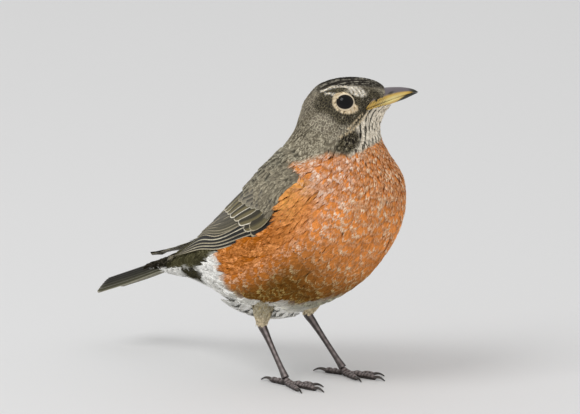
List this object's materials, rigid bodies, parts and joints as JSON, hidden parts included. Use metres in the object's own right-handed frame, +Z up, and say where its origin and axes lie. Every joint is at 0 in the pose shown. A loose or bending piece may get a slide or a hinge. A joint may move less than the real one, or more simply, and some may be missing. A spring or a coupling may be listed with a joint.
{
  "type": "american robin",
  "caption": "Life-size standing songbird with a rust breast, grey back and wings, streaked white throat and its head turned aside.",
  "frame": {"origin": "middle of the footprint, on the surface that the bird stands on", "axes": "+X the way the trunk faces, along the tail to the breast; +Y the bird's left; +Z up"},
  "size_m": [0.1804, 0.0716, 0.1581],
  "materials": {
    "head_feathers": "short soft blackish feathers with grey and white streaks",
    "neck_feathers": "soft grey-brown feathers",
    "body_feathers": "soft rust feathers with pale fringes, white at the vent, grey-brown on the back",
    "wing_feathers": "grey-brown flight feathers and coverts with pale edges",
    "tail_feathers": "dark brown tail feathers",
    "thigh_feathers": "soft buff-grey feathers",
    "eye": "wet, black-brown, very glossy",
    "bill": "satin horn, yellow below and slate above",
    "legs": "dark brown scutes with a dull sheen",
    "claws": "dark satin horn"
  },
  "bodies": {
    "root": {"head": "head_feathers", "neck": "neck_feathers", "trunk": "body_feathers", "eye_right": "eye", "eye_left": "eye", "bill_upper": "bill", "bill_lower": "bill", "wing_right_coverts": "wing_feathers", "wing_right_secondaries": "wing_feathers", "wing_right_primaries": "wing_feathers", "wing_left_coverts": "wing_feathers", "wing_left_secondaries": "wing_feathers", "wing_left_primaries": "wing_feathers", "tail": "tail_feathers", "thigh_right": "thigh_feathers", "thigh_left": "thigh_feathers", "shank_right": "legs", "shank_left": "legs", "toes_right": "legs", "toes_left": "legs", "claw_inner_right": "claws", "claw_middle_right": "claws", "claw_outer_right": "claws", "claw_hind_right": "claws", "claw_inner_left": "claws", "claw_middle_left": "claws", "claw_outer_left": "claws", "claw_hind_left": "claws"}
  },
  "joints": []
}
